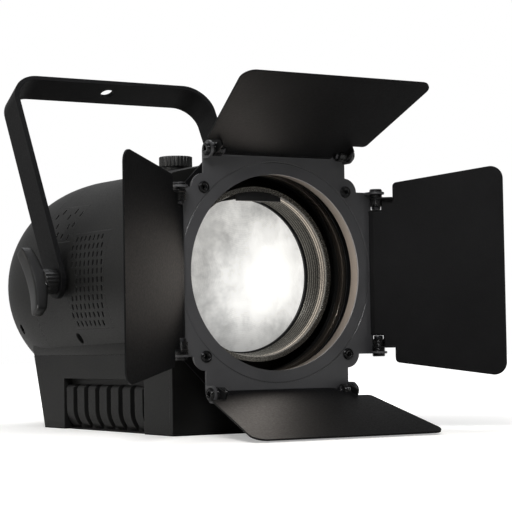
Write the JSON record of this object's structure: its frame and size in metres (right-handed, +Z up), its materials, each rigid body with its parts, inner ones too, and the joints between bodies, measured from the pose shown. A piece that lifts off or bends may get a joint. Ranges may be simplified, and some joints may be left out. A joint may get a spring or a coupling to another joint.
{
  "type": "follow spot",
  "caption": "Stage spot with a zoom lens in a domed housing on a box base, a tilting yoke with clamp levers, and hinged barn-door leaves.",
  "frame": {"origin": "centre of the base's flat underside", "axes": "+Z up, -Y towards the lens and the barn doors, +X to the object's left hand seen from the front"},
  "size_m": [0.3749, 0.537, 0.3506],
  "materials": {
    "black_aluminium": "matt black anodised",
    "black_plastic": "fine matt texture",
    "black_steel": "satin black powder coat",
    "bright_steel": "bright zinc",
    "dark_steel": "black oxide",
    "lens_glass": "clear pressed glass with a stippled back",
    "raw_aluminium": "extruded, plain",
    "rubber": "matt",
    "window": "smoked gloss"
  },
  "bodies": {
    "housing": {"front_panel": "black_plastic", "barrel_ring": "black_steel", "casing_shell": "black_plastic", "rear_dome": "black_plastic", "base_tray": "black_plastic", "base_plate": "black_steel", "accessory_holder": "black_steel", "bulkhead": "black_aluminium", "led_board": "black_aluminium", "led_lens": "lens_glass", "heat_sink": "raw_aluminium", "fan_frame": "black_plastic", "guide_rod_upper": "bright_steel", "guide_rod_lower": "bright_steel", "power_supply": "black_plastic", "control_board": "black_plastic", "rear_panel": "black_steel", "display_window": "window", "power_inlet": "black_plastic", "power_outlet": "black_plastic", "signal_in": "black_plastic", "signal_out": "black_plastic", "pivot_boss_left": "dark_steel", "pivot_boss_right": "dark_steel", "friction_washer_left": "rubber", "friction_washer_right": "rubber", "vent_grille_left": "black_plastic", "vent_grille_right": "black_plastic", "exhaust_grille": "black_plastic"},
    "fan_rotor": {"fan_rotor": "black_plastic"},
    "lens_carriage": {"lens_tube": "black_aluminium", "lens_stop": "black_steel", "lens": "lens_glass", "lens_retainer": "black_steel", "carriage_frame": "black_aluminium"},
    "zoom_knob": {"zoom_knob": "black_plastic"},
    "yoke": {"yoke": "black_steel"},
    "clamp_left": {"clamp_handle_left": "black_plastic"},
    "clamp_right": {"clamp_handle_right": "black_plastic"},
    "accessory_mount": {"mount_ring": "black_aluminium"},
    "barn_door": {"barn_door_plate": "black_steel", "plate_clips": "black_steel", "clip_screws": "dark_steel", "hinge_bolts_top": "dark_steel", "hinge_bolts_right": "dark_steel", "hinge_bolts_bottom": "dark_steel", "hinge_bolts_left": "dark_steel", "hinge_nuts_top": "bright_steel", "hinge_nuts_right": "bright_steel", "hinge_nuts_bottom": "bright_steel", "hinge_nuts_left": "bright_steel"},
    "leaf_top": {"leaf_top": "black_steel"},
    "leaf_right": {"leaf_right": "black_steel"},
    "leaf_bottom": {"leaf_bottom": "black_steel"},
    "leaf_left": {"leaf_left": "black_steel"},
    "button_menu": {"button_menu": "black_plastic"},
    "button_down": {"button_down": "black_plastic"},
    "button_up": {"button_up": "black_plastic"},
    "button_enter": {"button_enter": "black_plastic"}
  },
  "joints": [
    {"name": "yoke_tilt", "type": "hinge", "parent": "housing", "child": "yoke", "pos_m": [0, 0.0465, 0.14], "axis": [1, 0, 0], "range_deg": [-20, 78]},
    {"name": "clamp_left_turn", "type": "hinge", "parent": "housing", "child": "clamp_left", "pos_m": [-0.118, 0.0465, 0.14], "axis": [-1, 0, 0], "range_deg": [0, 180]},
    {"name": "clamp_right_turn", "type": "hinge", "parent": "housing", "child": "clamp_right", "pos_m": [0.118, 0.0465, 0.14], "axis": [1, 0, 0], "range_deg": [0, 180]},
    {"name": "zoom", "type": "slide", "parent": "housing", "child": "lens_carriage", "axis": [0, 1, 0], "range_m": [-0.008, 0.09]},
    {"name": "zoom_knob_turn", "type": "hinge", "parent": "lens_carriage", "child": "zoom_knob", "pos_m": [0, 0.0135, 0.14], "axis": [0, 0, 1], "range_deg": [0, 180]},
    {"name": "barn_door_lift", "type": "slide", "parent": "housing", "child": "accessory_mount", "axis": [0, 0, 1], "range_m": [0, 0.2]},
    {"name": "barn_door_turn", "type": "hinge", "parent": "accessory_mount", "child": "barn_door", "pos_m": [0, -0.1695, 0.14], "axis": [0, 1, 0], "continuous": true},
    {"name": "leaf_top_hinge", "type": "hinge", "parent": "barn_door", "child": "leaf_top", "pos_m": [0, -0.1775, 0.2439], "axis": [-1, 0, 0], "range_deg": [-112.5, 67.5]},
    {"name": "leaf_bottom_hinge", "type": "hinge", "parent": "barn_door", "child": "leaf_bottom", "pos_m": [0, -0.1775, 0.0361], "axis": [1, 0, 0], "range_deg": [-95.5, 77.5]},
    {"name": "leaf_left_hinge", "type": "hinge", "parent": "barn_door", "child": "leaf_left", "pos_m": [-0.0998, -0.1775, 0.14], "axis": [0, 0, 1], "range_deg": [-44, 136]},
    {"name": "leaf_right_hinge", "type": "hinge", "parent": "barn_door", "child": "leaf_right", "pos_m": [0.0998, -0.1775, 0.14], "axis": [0, 0, -1], "range_deg": [-45, 128]},
    {"name": "fan_spin", "type": "hinge", "parent": "housing", "child": "fan_rotor", "pos_m": [0, 0.1645, 0.14], "axis": [0, 1, 0], "continuous": true},
    {"name": "menu_press", "type": "slide", "parent": "housing", "child": "button_menu", "axis": [0, -0.9424, 0.3346], "range_m": [0, 0.001], "stiffness_N_per_m": 500, "springref_m": -0.001},
    {"name": "down_press", "type": "slide", "parent": "housing", "child": "button_down", "axis": [0, -0.9424, 0.3346], "range_m": [0, 0.001], "stiffness_N_per_m": 500, "springref_m": -0.001},
    {"name": "up_press", "type": "slide", "parent": "housing", "child": "button_up", "axis": [0, -0.9424, 0.3346], "range_m": [0, 0.001], "stiffness_N_per_m": 500, "springref_m": -0.001},
    {"name": "enter_press", "type": "slide", "parent": "housing", "child": "button_enter", "axis": [0, -0.9424, 0.3346], "range_m": [0, 0.001], "stiffness_N_per_m": 500, "springref_m": -0.001}
  ]
}
